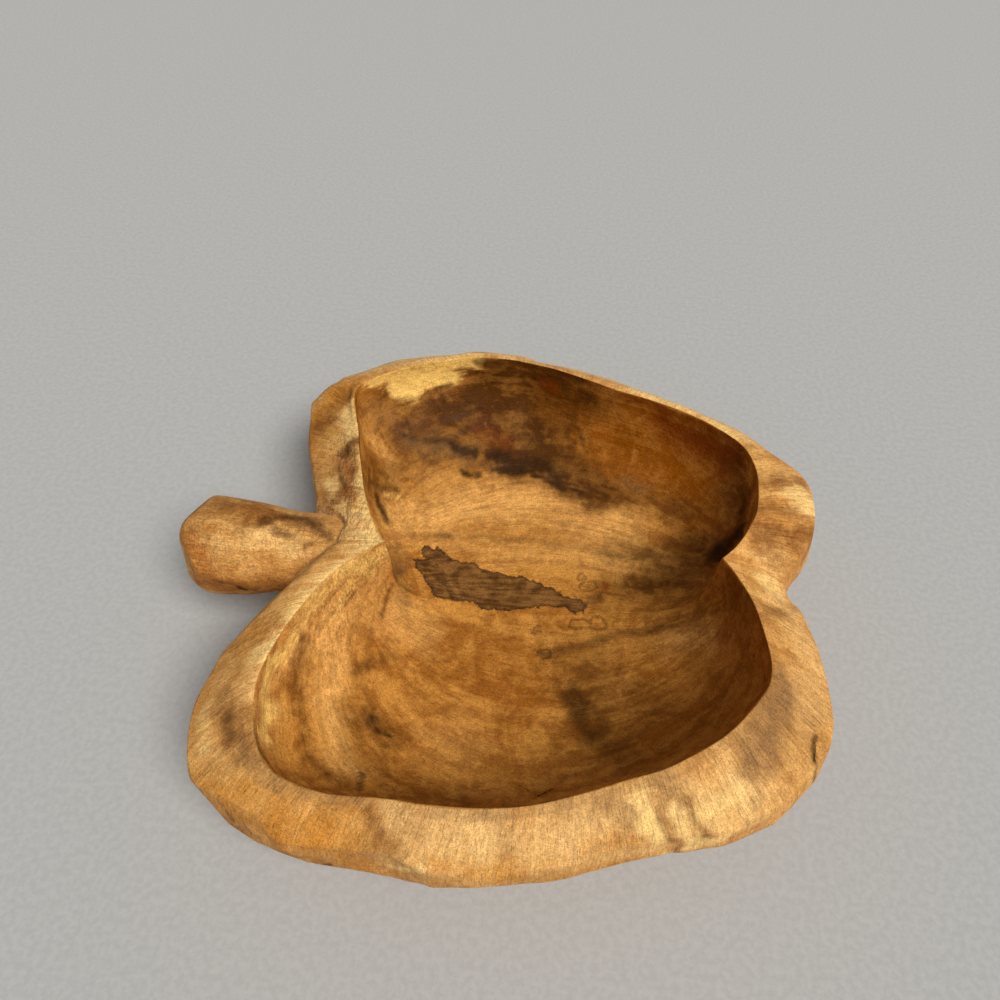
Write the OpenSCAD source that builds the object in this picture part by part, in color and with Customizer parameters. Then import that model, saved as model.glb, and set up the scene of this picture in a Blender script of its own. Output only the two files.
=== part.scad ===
// Wooden dough bowl carved in the shape of an apple cut through its stem, standing on a flat foot.
// The foot's face lies on z = 0, the stem points along -X and the notch at the calyx along +X.
// The outlines are polar: a radius from the middle of the bowl for each turn away from the calyx ridge.

/* [Bowl] */
// Height of the rim over the table
bowl_h = 76; // [66:1:90]
// Thickness of the floor at the middle of the hollow
floor_t = 16; // [12:1:24]
// Height of the widest line of the outside, as a share of the bowl's height
belly_share = 0.58; // [0.5:0.01:0.64]
// Step in from the outline of the hollow to the edge of the foot, along the radius
foot_inset = 44; // [34:1:54]
// Width of the narrow strip round the rim, along the radius
rim_w = 5; // [3:0.5:9]
// Drop of that strip towards its outer edge
rim_drop = 1; // [0:0.5:3]
// Width of the rim where it broadens to a saddle in front of the stem
saddle_w = 24; // [14:1:27]
// Fullness of the hollow's section, as a power: 2 is round, more is squarer
hollow_power = 2.5; // [2:0.1:3.2]
// Fullness of the outside between the belly and the rim
shoulder_power = 2.2; // [1.6:0.1:3]
// How far the knife planes that curve down to two flat faces: 0 not at all, 1 wholly
plane_share = 0.7; // [0:0.1:1]
// Fullness of the outside between the foot and the belly
tuck_power = 1.6; // [1.3:0.1:2.2]

/* [Hollow outline] */
// Turn of the line through both ridges, away from the axis of the stem
ridge_turn = 4; // [0:1:8]
// Radius of the hollow at the ridge beside the calyx
calyx_ridge_r = 78; // [66:1:90]
// Radius of the hollow at the ridge beside the stem
stem_ridge_r = 78; // [66:1:86]
// Back lobe, radius on the flank beside the calyx
back_calyx_flank_r = 104; // [94:1:114]
// Back lobe, radius on the shoulder beside the calyx
back_calyx_shoulder_r = 120; // [108:1:132]
// Back lobe, radius at its slack between the shoulders
back_waist_r = 114; // [102:1:126]
// Back lobe, radius at its side
back_side_r = 143; // [130:1:156]
// Back lobe, radius on the shoulder beside the stem
back_stem_shoulder_r = 151; // [138:1:164]
// Back lobe, radius at the bend from that shoulder to the flank
back_stem_bend_r = 123; // [114:1:134]
// Back lobe, radius on the flank beside the stem
back_stem_flank_r = 104; // [94:1:112]
// Front lobe, radius on the flank beside the calyx
front_calyx_flank_r = 94; // [86:1:104]
// Front lobe, radius on the shoulder beside the calyx
front_calyx_shoulder_r = 109; // [98:1:120]
// Front lobe, radius at its slack between the shoulders
front_waist_r = 108; // [98:1:120]
// Front lobe, radius at its side
front_side_r = 129; // [116:1:142]
// Front lobe, radius on the shoulder beside the stem
front_stem_shoulder_r = 151; // [146:1:164]
// Front lobe, radius at the bend from that shoulder to the flank
front_stem_bend_r = 143; // [132:1:148]
// Front lobe, radius on the flank beside the stem
front_stem_flank_r = 123; // [112:1:130]

/* [Wall] */
// Thickness of the wall at the belly, along the radius, at the calyx ridge
calyx_wall = 38; // [30:1:44]
// Thickness at the stem ridge
stem_wall = 30; // [28:1:36]
// Back lobe, thickness on the flank beside the calyx
back_calyx_flank_wall = 40; // [32:1:46]
// Back lobe, thickness on the shoulder beside the calyx
back_calyx_wall = 22; // [16:1:30]
// Back lobe, thickness at its slack
back_waist_wall = 24; // [16:1:30]
// Back lobe, thickness at its side
back_side_wall = 24; // [16:1:30]
// Back lobe, thickness on the shoulder beside the stem
back_stem_wall = 29; // [22:1:36]
// Back lobe, thickness at the bend from that shoulder to the flank
back_stem_bend_wall = 46; // [38:1:52]
// Back lobe, thickness on the flank beside the stem
back_stem_flank_wall = 36; // [32:1:44]
// Front lobe, thickness on the flank beside the calyx
front_calyx_flank_wall = 35; // [28:1:42]
// Front lobe, thickness on the shoulder beside the calyx
front_calyx_wall = 35; // [27:1:42]
// Front lobe, thickness at its slack
front_waist_wall = 24; // [16:1:30]
// Front lobe, thickness at its side
front_side_wall = 22; // [15:1:28]
// Front lobe, thickness on the shoulder beside the stem
front_stem_wall = 22; // [16:1:30]
// Front lobe, thickness at the bend from that shoulder to the flank
front_stem_bend_wall = 36; // [28:1:44]
// Front lobe, thickness on the flank beside the stem
front_stem_flank_wall = 39; // [32:1:46]

/* [Stem] */
// Diameter of the neck that is let into the bowl, as a share of the bowl's height
neck_share = 0.54; // [0.46:0.01:0.56]
// Length of the straight neck
neck_l = 30; // [24:1:36]
// Step from the neck's diameter up to the knob's
knob_step = 12; // [4:1:16]
// Distance from the seat in the bowl to the knob's largest section
seat_to_knob = 66; // [54:1:76]
// Distance from that section to the end of the stem
knob_to_end = 21; // [14:1:30]
// Diameter of the flat end
end_d = 28; // [18:1:36]
// Number of knife flats round the knob
knob_flats = 9; // [6:1:12]
// Depth of each knife flat
flat_depth = 0.9; // [0.4:0.1:1.4]

/* [Joint] */
// Wood left between the stem ridge and the seat of the stem
seat_wall = 20; // [18:1:24]
// Wood left over the housing of the neck, up to the outer edge of the rim
bridge_t = 2.5; // [2:0.5:6]
// Width of the ring of filler round the neck
filler_w = 2; // [1:0.5:2.5]
// Diameter of the wooden peg
peg_d = 10; // [8:1:16]
// Wood left between the end of the peg's hole and the hollow
peg_wall = 3; // [2:0.5:5]
// Length of peg in the stem
peg_in_stem = 26; // [18:1:34]
// Chamfer at both ends of the peg
peg_chamfer = 1.5; // [0.5:0.5:2.5]
// Gap round each glued round face
glue_gap = 0.1; // [0.05:0.05:0.2]
// Gap past each end of the peg
peg_end_gap = 1; // [0.5:0.5:1.5]

/* [Hidden] */

// Turns of the stations from the calyx ridge, where the outline's radii are set
outline_turns = [0, 18, 37, 70, 115, 136, 147, 158, 180];
// Turns of the stations where the wall's thicknesses are set
wall_turns = [0, 22, 40, 75, 110, 132, 145, 160, 180];
// Turn at which the strip round the rim starts to broaden towards the saddle
saddle_turn = 158;
// Turn to each side, and its steps, over which the outline is averaged for the floor and the foot
soft_turn = 40;
soft_steps = 6;
// Step up the shoulder where its planed faces meet, and its shares of the width and of the height there
plane_step = 0.375;
plane_wide = 0.88;
plane_tall = 0.58;
// Half a turn, from the calyx ridge to the stem ridge
half_turn = 180;
// Quarter of a turn, which each rounded part of the section sweeps
quarter = 90;
// Meridians round the bowl, and steps up each part of the section
meridians = 120;
section_steps = 8;
hollow_steps = 9;
// Steps along the stem's swell and its rounded end
swell_steps = 10;
end_steps = 6;
// Facets of the round joint faces
joint_fn = 96;
// Overshoot that keeps cuts clear of the faces they pass through
cut_over = 1;

back_radii = [
    calyx_ridge_r, back_calyx_flank_r, back_calyx_shoulder_r, back_waist_r, back_side_r,
    back_stem_shoulder_r, back_stem_bend_r, back_stem_flank_r, stem_ridge_r
];
front_radii = [
    calyx_ridge_r, front_calyx_flank_r, front_calyx_shoulder_r, front_waist_r, front_side_r,
    front_stem_shoulder_r, front_stem_bend_r, front_stem_flank_r, stem_ridge_r
];
back_walls = [
    calyx_wall, back_calyx_flank_wall, back_calyx_wall, back_waist_wall, back_side_wall,
    back_stem_wall, back_stem_bend_wall, back_stem_flank_wall, stem_wall
];
front_walls = [
    calyx_wall, front_calyx_flank_wall, front_calyx_wall, front_waist_wall, front_side_wall,
    front_stem_wall, front_stem_bend_wall, front_stem_flank_wall, stem_wall
];

hollow_d = bowl_h - floor_t;
rim_edge_z = bowl_h - rim_drop;
belly_z = bowl_h * belly_share;
seat_x = -stem_ridge_r - seat_wall;
neck_r = bowl_h * neck_share / 2;
knob_r = neck_r + knob_step / 2;
knob_d = 2 * knob_r;
housing_r = neck_r + filler_w;
stem_z = rim_edge_z - bridge_t - housing_r;
stem_l = seat_to_knob + knob_to_end;
// Turn from the stem's axis to the side of the peg's hole, and how far out the hollow comes there
peg_turn = atan2(peg_d / 2 + glue_gap, stem_ridge_r);
hollow_by_peg = cos(peg_turn) * max([
    for (side = [-1, 1]) hollow_r(wrap(half_turn - ridge_turn + side * peg_turn))
]);
peg_in_bowl = -seat_x - hollow_by_peg - peg_wall - peg_end_gap;
peg_l = peg_in_bowl + peg_in_stem;
// Reach of the round cuts out of the bowl, past the stem's end
reach = stem_l + cut_over;

// Slope between one station and the next
function secant(xs, ys, i) = (ys[i + 1] - ys[i]) / (xs[i + 1] - xs[i]);

// Slope of the curve at a station: level at a peak or a dip, else the harmonic mean of its neighbours
function slope(xs, ys, i) =
    i == 0 ? secant(xs, ys, 0) :
    i == len(xs) - 1 ? secant(xs, ys, i - 1) :
    let (before = secant(xs, ys, i - 1), after = secant(xs, ys, i))
    before * after <= 0 ? 0 : 2 * before * after / (before + after);

// Number of the span between stations that holds x
function span_at(xs, x, i = 0) =
    i >= len(xs) - 2 || x < xs[i + 1] ? i : span_at(xs, x, i + 1);

// Value at x of a smooth curve through the stations that never overshoots them
function curve(xs, ys, x) =
    let (i = span_at(xs, x), w = xs[i + 1] - xs[i], t = (x - xs[i]) / w)
    ys[i] * (1 + 2 * t) * pow(1 - t, 2)
    + ys[i + 1] * t * t * (3 - 2 * t)
    + w * t * (1 - t) * (slope(xs, ys, i) * (1 - t) - slope(xs, ys, i + 1) * t);

// Smooth step from 0 to 1
function ease(t) = t * t * (3 - 2 * t);

// Radii of the outlines at a turn; positive turns are the back lobe
function hollow_r(turn) = curve(outline_turns, turn >= 0 ? back_radii : front_radii, abs(turn));
function belly_r(turn) =
    hollow_r(turn) + curve(wall_turns, turn >= 0 ? back_walls : front_walls, abs(turn));

// Outline of the hollow averaged over the turns beside, so that the ridges die out towards the floor
function wrap(turn) = abs(turn) > half_turn ? turn - sign(turn) * 2 * half_turn : turn;
function soft_r(turn) =
    let (radii = [for (i = [-soft_steps : soft_steps]) hollow_r(wrap(turn + i * soft_turn / soft_steps))])
    radii * [for (r = radii) 1] / len(radii);
function foot_r(turn) = soft_r(turn) - foot_inset;
function rim_r(turn) =
    let (t = max(0, (abs(turn) - saddle_turn) / (half_turn - saddle_turn)))
    hollow_r(turn) + rim_w + (saddle_w - rim_w) * ease(t);

// Quarter of a superellipse: the share of its width and of its height at step k of 0 to 1
function wide(k, fullness) = pow(cos(quarter * k), 2 / fullness);
function tall(k, fullness) = pow(sin(quarter * k), 2 / fullness);

// The same shares for the shoulder, drawn towards the planed faces
function planed(share, stations, k) = share + (lookup(k, stations) - share) * plane_share;
function shoulder_wide(k) = planed(wide(k, shoulder_power), [[0, 1], [plane_step, plane_wide], [1, 0]], k);
function shoulder_tall(k) = planed(tall(k, shoulder_power), [[0, 0], [plane_step, plane_tall], [1, 1]], k);

// Points [radius, height] of the section at a turn, from the foot's edge over the rim into the hollow
function tuck_point(turn, k) = [
    foot_r(turn) + (belly_r(turn) - foot_r(turn)) * tall(k, tuck_power),
    belly_z * (1 - wide(k, tuck_power))
];
function shoulder_point(turn, k) = [
    rim_r(turn) + (belly_r(turn) - rim_r(turn)) * shoulder_wide(k),
    belly_z + (rim_edge_z - belly_z) * shoulder_tall(k)
];
function hollow_point(turn, k) = [
    (hollow_r(turn) + (soft_r(turn) - hollow_r(turn)) * ease(k)) * wide(k, hollow_power),
    bowl_h - hollow_d * tall(k, hollow_power)
];
function section(turn) = [
    for (i = [0 : section_steps]) tuck_point(turn, i / section_steps),
    for (i = [1 : section_steps]) shoulder_point(turn, i / section_steps),
    for (i = [0 : hollow_steps - 1]) hollow_point(turn, i / hollow_steps)
];

// Solid wall and floor of the bowl: sections at equal turns, skinned with triangles
module shell() {
    rows = 2 * section_steps + 1 + hollow_steps;
    skin = [
        for (j = [0 : meridians - 1])
            let (turn = j * 2 * half_turn / meridians, side = turn > half_turn ? turn - 2 * half_turn : turn)
            for (p = section(side))
                [p[0] * cos(turn + ridge_turn), p[0] * sin(turn + ridge_turn), p[1]]
    ];
    foot_centre = len(skin);
    floor_centre = foot_centre + 1;
    walls = [
        for (j = [0 : meridians - 1], i = [0 : rows - 2])
            let (a = j * rows + i, b = (j + 1) % meridians * rows + i)
            each [[a, a + 1, b + 1], [a, b + 1, b]]
    ];
    caps = [
        for (j = [0 : meridians - 1])
            let (a = j * rows, b = (j + 1) % meridians * rows)
            each [[foot_centre, a, b], [floor_centre, b + rows - 1, a + rows - 1]]
    ];
    polyhedron(concat(skin, [[0, 0, 0], [0, 0, floor_t]]), concat(walls, caps), convexity = 6);
}

// Places its children on the stem's axis at the seat, with their +Z along the stem
module on_stem() {
    translate([seat_x, 0, stem_z]) rotate([0, -quarter, 0]) children();
}

// Round hole for one end of the peg, from the seat down or up the stem's axis
module peg_hole(depth) {
    cylinder(h = depth + peg_end_gap + cut_over, r = peg_d / 2 + glue_gap, $fn = joint_fn);
}

// Carved bowl with the housing for the neck and the blind hole for the peg
module bowl() {
    color([0.74, 0.50, 0.26])
    difference() {
        shell();
        on_stem() cylinder(h = reach, r = housing_r, $fn = joint_fn);
        on_stem() translate([0, 0, cut_over]) rotate([half_turn, 0, 0]) peg_hole(peg_in_bowl);
    }
}

// Half of the stem's section as [radius, distance from the seat]
function swell_point(t) = [
    neck_r + (knob_r - neck_r) * ease(t),
    neck_l + (seat_to_knob - neck_l) * t
];
function end_point(t) = [
    end_d / 2 + (knob_r - end_d / 2) * cos(quarter * t),
    seat_to_knob + knob_to_end * sin(quarter * t)
];

// Stem before its flats are cut: a straight neck, a swell to the knob and a rounded end, grown by a gap
module stem_blank(gap = 0) {
    outline = concat(
        [[0, -gap], [neck_r + gap, -gap]],
        [for (i = [0 : swell_steps]) swell_point(i / swell_steps) + [gap, 0]],
        [for (i = [1 : end_steps]) end_point(i / end_steps) + [gap, 0]],
        [[0, stem_l]]
    );
    rotate_extrude($fn = joint_fn) polygon(outline);
}

// Stem with knife flats round its knob and a blind hole for the peg
module stem() {
    color([0.68, 0.43, 0.21])
    on_stem() difference() {
        stem_blank();
        for (i = [0 : knob_flats - 1])
            rotate(i * 2 * half_turn / knob_flats)
            translate([knob_r - flat_depth, -knob_r, 0])
            cube([knob_d, knob_d, reach]);
        translate([0, 0, -cut_over]) peg_hole(peg_in_stem);
    }
}

// Wooden peg that pins the stem to the bowl, chamfered at both ends
module stem_peg() {
    tip_r = peg_d / 2 - peg_chamfer;
    body_l = peg_l - 2 * peg_chamfer;
    color([0.82, 0.68, 0.48])
    on_stem() translate([0, 0, -peg_in_bowl]) {
        cylinder(h = peg_chamfer, r1 = tip_r, r2 = peg_d / 2, $fn = joint_fn);
        translate([0, 0, peg_chamfer]) cylinder(h = body_l, d = peg_d, $fn = joint_fn);
        translate([0, 0, peg_chamfer + body_l])
        cylinder(h = peg_chamfer, r1 = peg_d / 2, r2 = tip_r, $fn = joint_fn);
    }
}

// Ring of filler packed round the neck, dressed flush with the outside of the bowl
module neck_filler() {
    color([0.44, 0.32, 0.22])
    intersection() {
        shell();
        on_stem() difference() {
            cylinder(h = reach, r = housing_r - glue_gap, $fn = joint_fn);
            stem_blank(glue_gap);
        }
    }
}

bowl();
stem();
stem_peg();
neck_filler();
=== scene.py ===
import math
import bpy
import numpy as np
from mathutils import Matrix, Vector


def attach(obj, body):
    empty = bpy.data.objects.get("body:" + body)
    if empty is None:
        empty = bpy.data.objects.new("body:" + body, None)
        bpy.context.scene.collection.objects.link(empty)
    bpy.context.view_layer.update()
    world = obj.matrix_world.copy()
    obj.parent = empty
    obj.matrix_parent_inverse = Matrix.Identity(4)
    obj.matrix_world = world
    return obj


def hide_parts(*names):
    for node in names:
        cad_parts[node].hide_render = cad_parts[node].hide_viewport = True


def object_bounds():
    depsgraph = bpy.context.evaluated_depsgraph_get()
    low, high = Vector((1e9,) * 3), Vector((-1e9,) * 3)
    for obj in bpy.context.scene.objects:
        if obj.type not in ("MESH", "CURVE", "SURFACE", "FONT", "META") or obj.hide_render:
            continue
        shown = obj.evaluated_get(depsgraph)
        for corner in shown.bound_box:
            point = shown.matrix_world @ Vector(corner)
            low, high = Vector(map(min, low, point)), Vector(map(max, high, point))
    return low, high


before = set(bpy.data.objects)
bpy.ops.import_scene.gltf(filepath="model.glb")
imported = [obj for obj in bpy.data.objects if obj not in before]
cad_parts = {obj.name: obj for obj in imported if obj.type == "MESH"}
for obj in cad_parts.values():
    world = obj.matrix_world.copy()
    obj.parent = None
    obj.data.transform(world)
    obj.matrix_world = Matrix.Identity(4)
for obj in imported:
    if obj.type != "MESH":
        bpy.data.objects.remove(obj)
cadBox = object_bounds()
mm = 0.001
print("frame loaded:", ", ".join(sorted(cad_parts)))

# viewpoint of the photograph, in mm, degrees and pixels
camera = {
    "at": (1.3, -201.2, 364.0), "tilt": 38.5, "turn": 7.5,
    "focal": 751.0, "frame": 1000, "sensor": 36.0,
}


def addObject(name, data):
    thing = bpy.data.objects.new(name, data)
    bpy.context.scene.collection.objects.link(thing)
    return thing


def placeCamera():
    data = bpy.data.cameras.new("camera")
    data.sensor_width = camera["sensor"]
    data.lens = camera["sensor"] * camera["focal"] / camera["frame"]
    view = addObject("camera", data)
    view.location = [mm * c for c in camera["at"]]
    view.rotation_euler = (math.radians(camera["tilt"]), 0, math.radians(camera["turn"]))
    bpy.context.scene.camera = view


# right, up and back directions of the camera: tilted about X, then turned about Z
def cameraAxes():
    a, b = math.radians(camera["tilt"]), math.radians(camera["turn"])
    right = np.array([math.cos(b), math.sin(b), 0])
    up = np.array([-math.sin(b) * math.cos(a), math.cos(b) * math.cos(a), math.sin(a)])
    back = np.array([math.sin(b) * math.sin(a), -math.cos(b) * math.sin(a), math.cos(a)])
    return right, up, back


# pixel of the photograph that a point in mm falls on: focal length times sideways over forward distance
def pixelOf(points):
    right, up, back = cameraAxes()
    away = points - np.array(camera["at"])
    scale = camera["focal"] / -(away @ back)
    half = camera["frame"] / 2
    return np.stack([half + scale * (away @ right), half - scale * (away @ up)], -1)


# smooth curve through stations: level at a peak or dip, else the harmonic mean of the neighbouring slopes
def throughStations(stations, values, x):
    xs, ys = np.array(stations, float), np.array(values, float)
    slope = np.diff(ys) / np.diff(xs)
    before, after = slope[:-1], slope[1:]
    total = np.where(before + after == 0, 1, before + after)
    inner = np.where(before * after > 0, 2 * before * after / total, 0)
    slopes = np.concatenate([slope[:1], inner, slope[-1:]])
    i = np.clip(np.searchsorted(xs, x, side="right") - 1, 0, len(xs) - 2)
    w = xs[i + 1] - xs[i]
    t = (x - xs[i]) / w
    return (ys[i] * (1 + 2 * t) * (1 - t) ** 2 + ys[i + 1] * t * t * (3 - 2 * t)
            + w * t * (1 - t) * (slopes[i] * (1 - t) - slopes[i + 1] * t))


def ease(t):  # smooth step from 0 to 1
    t = np.clip(t, 0, 1)
    return t * t * (3 - 2 * t)


# gentle unevenness, about -1 to 1: the sum of plane waves in seeded directions over the root of their
# number; wavelength in mm, and each wave's frequency lies within a spread about it
def unevenness(points, wavelength, seed, waves=28, spread=(0.7, 1.5)):
    rng = np.random.default_rng(seed)
    way = rng.normal(size=(3, waves))
    way *= 2 * np.pi / wavelength / np.linalg.norm(way, axis=0) * rng.uniform(*spread, waves)
    return np.sin(points @ way + rng.uniform(0, 2 * np.pi, waves)).sum(-1) / math.sqrt(waves)


def unit(way):
    return np.array(way) / np.linalg.norm(way)


def asShare(wave):  # unevenness as a share of 0 to 1
    return 0.5 + 0.5 * np.clip(wave, -1, 1)


def softCut(over, soft):  # what stands out past a plane, with a start that is softly rounded
    return soft * np.logaddexp(0, over / soft)


# unit normals of a grid of points: cross product of its differences along the turns and the rows
def gridNormals(grid):
    alongTurns = np.roll(grid, -1, 1) - np.roll(grid, 1, 1)
    normal = np.cross(alongTurns, np.gradient(grid, axis=0))
    return normal / np.maximum(np.linalg.norm(normal, axis=-1, keepdims=True), 1e-9)


# quads between the rows of a grid that closes on itself round its turns
def ringQuads(rows, turns, closed=False):
    i, j = np.meshgrid(np.arange(rows if closed else rows - 1), np.arange(turns), indexing="ij")
    k, n = (i + 1) % rows, (j + 1) % turns
    return np.stack([i * turns + j, i * turns + n, k * turns + n, k * turns + j], -1).reshape(-1, 4)


# triangles from the first row to the point after the grid, and from the last row to the point after that
def capFans(rows, turns):
    j = np.arange(turns)
    n = (j + 1) % turns
    first, last = rows * turns, rows * turns + 1
    low = np.stack([np.full(turns, first), n, j], -1)
    high = np.stack([np.full(turns, last), (rows - 1) * turns + j, (rows - 1) * turns + n], -1)
    return np.concatenate([low, high])


def makePiece(name, points, faces, values):
    mesh = bpy.data.meshes.new(name)
    mesh.from_pydata((points * mm).tolist(), [], faces)
    for key, data in values.items():
        flat = data.ndim == 1
        slot = mesh.attributes.new(key, "FLOAT" if flat else "FLOAT_VECTOR", "POINT")
        slot.data.foreach_set("value" if flat else "vector", data.astype(np.float32).ravel())
    mesh.shade_smooth()
    return addObject(name, mesh)


# carved bowl, in mm and degrees; turns are measured from the calyx ridge, back lobe positive
bowl = {
    "height": 76.0, "floor": 16.0, "belly": 44.08, "footInset": 44.0, "rim": 5.0, "rimDrop": 1.0,
    "saddle": 24.0, "saddleTurn": 158.0, "ridgeTurn": 4.0, "softTurn": 40.0, "softSteps": 6,
    "hollowPower": 2.5, "shoulderPower": 2.2, "tuckPower": 1.6,
    "plane": 0.7, "planeStep": 0.375, "planeWide": 0.88, "planeTall": 0.58,
    # radius of the hollow and thickness of the wall: turns, sizes on the back lobe and on the front lobe
    "outline": ((0, 18, 37, 70, 115, 136, 147, 158, 180), (78, 104, 120, 114, 143, 151, 123, 104, 78),
                (78, 94, 109, 108, 129, 151, 143, 123, 78)),
    "walls": ((0, 22, 40, 75, 110, 132, 145, 160, 180), (38, 40, 22, 24, 24, 29, 46, 36, 30),
              (38, 35, 35, 24, 22, 22, 36, 39, 30)),
    "turns": 512, "footRows": 7, "tuckRows": 30, "shoulderRows": 50, "stripRows": 9, "hollowRows": 82,
    "crowding": 1.35,       # over 1 brings the hollow's rows closer together near the rim
    "fullness": 0.35,       # stands proud of the plain form before the knife takes it off
    "rippleOut": 0.5, "rippleIn": 0.45, "rippleLength": 30.0, "seed": 11,
    "footStart": 0.12, "footPower": 0.8, "sectionSize": (100, 60), "sectionSteps": 4001,
    # rounding of the strip's edges: rows before, rows after, rounds
    "outerRounding": (7, 5, 14), "innerRounding": (4, 5, 2), "flankRounding": (9, 14, 40),
    "flankTurn": -150, "flankHalf": 28, "flankFade": 14, "greyTurns": (-140, -15), "greyFade": 25,
}

# knife flats on the outside, in tiers: share of the way up the skin, step in turn, depth; then single cuts,
# and corners: place, the way that the cut faces, depth
flats = {
    "tiers": ((0.86, 15, 0.6), (0.62, 19, 1.0), (0.40, 21, 1.4), (0.20, 26, 1.2)),
    "single": ((0.37, -62, 2.6), (0.37, -80, 2.8), (0.37, -98, 2.4), (0.40, -138, 1.8), (0.42, -120, 2.0)),
    "corners": (
        ((-145, 109, 62), (-0.70, 0.32, 0.64), 4.2), ((-120, 125, 64), (-0.43, 0.52, 0.74), 1.2),
        ((-36, 143, 68), (0.06, 0.66, 0.75), 0.8), ((72, 111, 67), (0.32, 0.62, 0.72), 1.2),
        ((119, 83, 62), (0.49, 0.54, 0.69), 1.0), ((-135, -47, 62), (-0.76, 0.39, 0.52), 2.4),
        ((-131, -124, 44), (-0.57, -0.82, 0.02), 2.2), ((-94, -138, 43), (-0.20, -0.96, -0.15), 1.0),
        ((89, -108, 43), (0.47, -0.87, -0.14), 1.4), ((111, -91, 44), (0.73, -0.69, 0.01), 1.4),
    ),
    "reach": 34.0, "fadeShare": 0.3, "deepest": 3.0, "cornerDeepest": 1.2, "soft": 0.12, "seed": 5,
    # chance in each flat: share of the way up, turn, facing, share of the depth
    "varyUp": 0.03, "varyTurn": 5, "varyFacing": 0.05, "varyDepth": (0.6, 1.3),
}


def wrapTurn(turn):
    return (turn + 180) % 360 - 180


def bySide(turn, table):
    turn = wrapTurn(turn)
    onBack, onFront = (throughStations(table[0], sizes, np.abs(turn)) for sizes in table[1:])
    return np.where(turn >= 0, onBack, onFront)


def hollowRadius(turn):
    return bySide(turn, bowl["outline"])


def bellyRadius(turn):
    return hollowRadius(turn) + bySide(turn, bowl["walls"])


# mean of the hollow's radius over the turns beside, so that the ridges die out towards the floor
def softRadius(turn):
    beside = np.linspace(-bowl["softTurn"], bowl["softTurn"], 2 * bowl["softSteps"] + 1)
    return hollowRadius(turn[..., None] + beside).mean(-1)


def rimRadius(turn):
    widen = ease((np.abs(wrapTurn(turn)) - bowl["saddleTurn"]) / (180 - bowl["saddleTurn"]))
    return hollowRadius(turn) + bowl["rim"] + (bowl["saddle"] - bowl["rim"]) * widen


def wide(k, power):  # share of the width of a quarter superellipse at step k of 0 to 1
    return np.cos(np.pi / 2 * np.clip(k, 0, 1)) ** (2 / power)


def tall(k, power):  # share of its height
    return np.sin(np.pi / 2 * np.clip(k, 0, 1)) ** (2 / power)


def tuckAt(turn, k):  # outside from the foot's edge up to the belly
    foot = softRadius(turn) - bowl["footInset"]
    return (foot + (bellyRadius(turn) - foot) * tall(k, bowl["tuckPower"]),
            bowl["belly"] * (1 - wide(k, bowl["tuckPower"])))


# outside from the belly up to the strip: a superellipse drawn towards two planed faces that meet at a step
def shoulderAt(turn, k):
    rim = rimRadius(turn)
    edge = bowl["height"] - bowl["rimDrop"]
    steps, share = (0, bowl["planeStep"], 1), bowl["plane"]
    out = wide(k, bowl["shoulderPower"])
    out = out + share * (np.interp(k, steps, (1, bowl["planeWide"], 0)) - out)
    up = tall(k, bowl["shoulderPower"])
    up = up + share * (np.interp(k, steps, (0, bowl["planeTall"], 1)) - up)
    return rim + (bellyRadius(turn) - rim) * out, bowl["belly"] + (edge - bowl["belly"]) * up


def hollowAt(turn, k):  # inside from the rim down to the middle of the floor
    radius = hollowRadius(turn)
    radius = radius + (softRadius(turn) - radius) * ease(k)
    return (radius * wide(k, bowl["hollowPower"]),
            bowl["height"] - (bowl["height"] - bowl["floor"]) * tall(k, bowl["hollowPower"]))


# steps k at even distances, or crowded to the start, along a section of the size in the settings
def evenSteps(count, power, crowding=1.0):
    across, high = bowl["sectionSize"]
    k = np.linspace(0, 1, bowl["sectionSteps"])
    run = np.hypot(np.diff(across * wide(k, power)), np.diff(high * tall(k, power)))
    run = np.concatenate([[0], np.cumsum(run)])
    return np.interp(run[-1] * np.linspace(0, 1, count + 1) ** crowding, run, k)


def polarToPoints(turn, radius, height):
    angle = np.radians(turn + bowl["ridgeTurn"])
    return np.stack([radius * np.cos(angle), radius * np.sin(angle), height + 0 * radius], -1)


# planes of the knife flats: each lies its depth under a place on the skin and faces nearly as the skin does
def setFlats(skin, skinTurn):
    rng = np.random.default_rng(flats["seed"])
    varyUp, varyTurn = flats["varyUp"], flats["varyTurn"]
    facing = gridNormals(skin)
    tiers = [(up, at, deep) for up, step, deep in flats["tiers"] for at in np.arange(-180, 180, step)]
    planes = []
    for up, at, deep in tiers + list(flats["single"]):
        i = round((len(skin) - 1) * np.clip(up + rng.uniform(-varyUp, varyUp), 0, 1))
        j = np.abs(wrapTurn(skinTurn[0] - at - rng.uniform(-varyTurn, varyTurn))).argmin()
        way = unit(facing[i, j] + rng.normal(0, flats["varyFacing"], 3))
        planes.append((skin[i, j], way, deep * rng.uniform(*flats["varyDepth"]), flats["deepest"]))
    for place, way, deep in flats["corners"]:
        planes.append((np.array(place), unit(way), deep, flats["cornerDeepest"] * deep))
    return planes


# each flat pushes back what stands out past its plane, softly, within its reach and to a greatest depth
def shave(points, planes):
    reach = flats["reach"]
    for place, way, deep, deepest in planes:
        off = points - place
        cut = deepest * np.tanh(softCut(off @ way + deep, flats["soft"]) / deepest)
        near = ease((reach - np.linalg.norm(off, axis=-1)) / (flats["fadeShare"] * reach))
        points = points - (cut * near)[..., None] * way
    return points


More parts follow.
